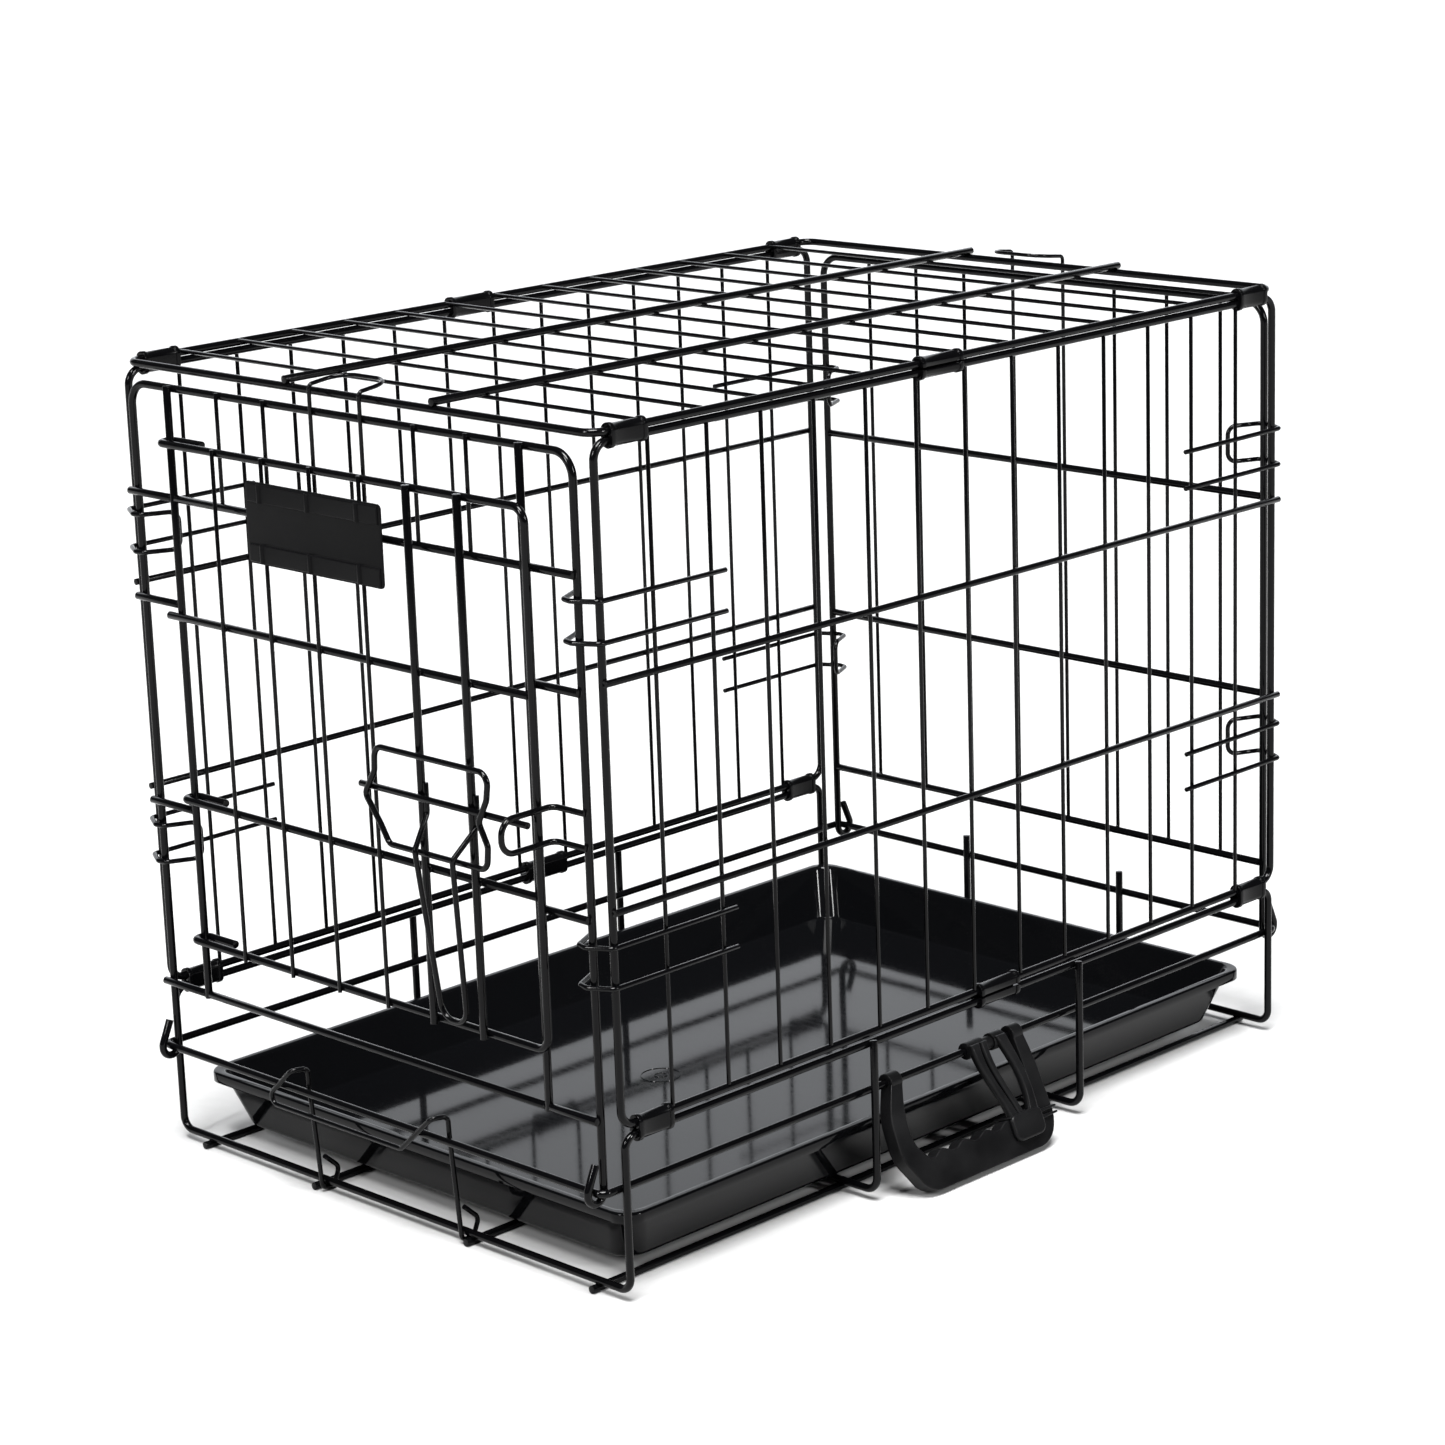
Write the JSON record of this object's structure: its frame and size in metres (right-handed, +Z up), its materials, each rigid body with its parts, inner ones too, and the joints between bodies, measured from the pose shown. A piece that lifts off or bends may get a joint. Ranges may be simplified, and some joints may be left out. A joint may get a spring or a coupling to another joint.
{
  "type": "folding wire dog crate",
  "caption": "Folding wire pet crate: rectangular wire cabin with hinged end panels, a front door with a sliding bolt, a removable floor tray and a carrying handle.",
  "frame": {"origin": "on the ground under the middle of the bounding box", "axes": "+X to the handle side, +Y from the door towards the rear, +Z up; the door faces -Y"},
  "size_m": [0.4462, 0.6715, 0.512],
  "materials": {
    "wire": "gloss black powder coat",
    "sleeve": "satin black",
    "plate": "satin black",
    "tray": "gloss black",
    "handle": "matte black"
  },
  "bodies": {
    "base": {"base_perimeter": "wire", "base_ring": "wire", "base_hoops": "wire", "base_floor_beams": "wire", "base_rear_stops": "wire"},
    "side_right": {"side_right_frame": "wire", "side_right_rails": "wire", "side_right_verticals": "wire", "side_right_hooks": "wire", "side_right_hinge_tubes": "sleeve", "side_right_hinge_clip": "sleeve"},
    "side_left": {"side_left_frame": "wire", "side_left_rails": "wire", "side_left_verticals": "wire", "side_left_hooks": "wire", "side_left_hinge_tubes": "sleeve", "side_left_hinge_clip": "sleeve"},
    "top": {"top_frame": "wire", "top_cross_wires": "wire", "top_long_wires": "wire", "top_hinge_tubes": "sleeve", "top_hinge_clips": "sleeve"},
    "front_panel": {"front_frame": "wire", "front_rails": "wire", "door_hinge_post": "wire", "door_strike_post": "wire", "front_verticals": "wire", "front_top_hook": "wire", "bolt_keeper": "wire"},
    "rear_panel": {"rear_frame": "wire", "rear_rails": "wire", "rear_verticals": "wire", "rear_top_hook": "wire"},
    "door": {"door_frame": "wire", "door_rails": "wire", "door_thin_verticals": "wire", "door_thick_verticals": "wire", "bolt_retainer": "wire", "name_plate": "plate"},
    "latch_bolt": {"latch_bolt": "wire", "latch_paddle": "wire"},
    "tray": {"tray": "tray"},
    "tray_latch": {"tray_latch": "wire"},
    "carry_handle": {"carry_handle": "handle"},
    "handle_clip": {"handle_clip": "handle"}
  },
  "joints": [
    {"name": "side_right_fold", "type": "hinge", "parent": "base", "child": "side_right", "pos_m": [0.19339, 0.01505, 0.1003], "axis": [0, -1, 0], "range_deg": [0, 80]},
    {"name": "side_left_fold", "type": "hinge", "parent": "base", "child": "side_left", "pos_m": [-0.21661, 0.01505, 0.1003], "axis": [0, -1, 0], "range_deg": [0, 80]},
    {"name": "top_level", "type": "hinge", "parent": "side_right", "child": "top", "pos_m": [0.19339, 0.01505, 0.497], "axis": [0, -1, 0], "range_deg": [-80, 0]},
    {"name": "front_fold", "type": "hinge", "parent": "base", "child": "front_panel", "pos_m": [-0.01161, -0.29705, 0.0684], "axis": [-1, 0, 0], "range_deg": [0, 86], "deforming": ["side_right_hooks", "side_left_hooks", "front_top_hook"]},
    {"name": "rear_fold", "type": "hinge", "parent": "base", "child": "rear_panel", "pos_m": [-0.01161, 0.32715, 0.0684], "axis": [1, 0, 0], "range_deg": [0, 90], "deforming": ["rear_top_hook"]},
    {"name": "door_swing", "type": "hinge", "parent": "front_panel", "child": "door", "pos_m": [-0.16511, -0.29535, 0.3], "axis": [0, 0, 1], "range_deg": [-110, 0]},
    {"name": "bolt_slide", "type": "slide", "parent": "door", "child": "latch_bolt", "axis": [1, 0, 0], "range_m": [-0.009, 0.008]},
    {"name": "tray_slide", "type": "slide", "parent": "base", "child": "tray", "axis": [0, 1, 0], "range_m": [-0.5, 0]},
    {"name": "tray_latch_swing", "type": "hinge", "parent": "base", "child": "tray_latch", "pos_m": [-0.01161, -0.28295, 0.0069], "axis": [-1, 0, 0], "range_deg": [-75, 0], "deforming": ["tray_latch"]},
    {"name": "handle_swing", "type": "hinge", "parent": "base", "child": "carry_handle", "pos_m": [0.18859, -0.01495, 0.0684], "axis": [0, 1, 0], "range_deg": [-100, 0]},
    {"name": "handle_clip_swing", "type": "hinge", "parent": "base", "child": "handle_clip", "pos_m": [0.18859, -0.00095, 0.0684], "axis": [0, 1, 0], "range_deg": [-100, 0]}
  ],
  "couplings": [
    {"joint": "side_left_fold", "follows": "side_right_fold", "ratio": 1},
    {"joint": "top_level", "follows": "side_right_fold", "ratio": -1},
    {"joint": "handle_clip_swing", "follows": "handle_swing", "ratio": 1}
  ]
}
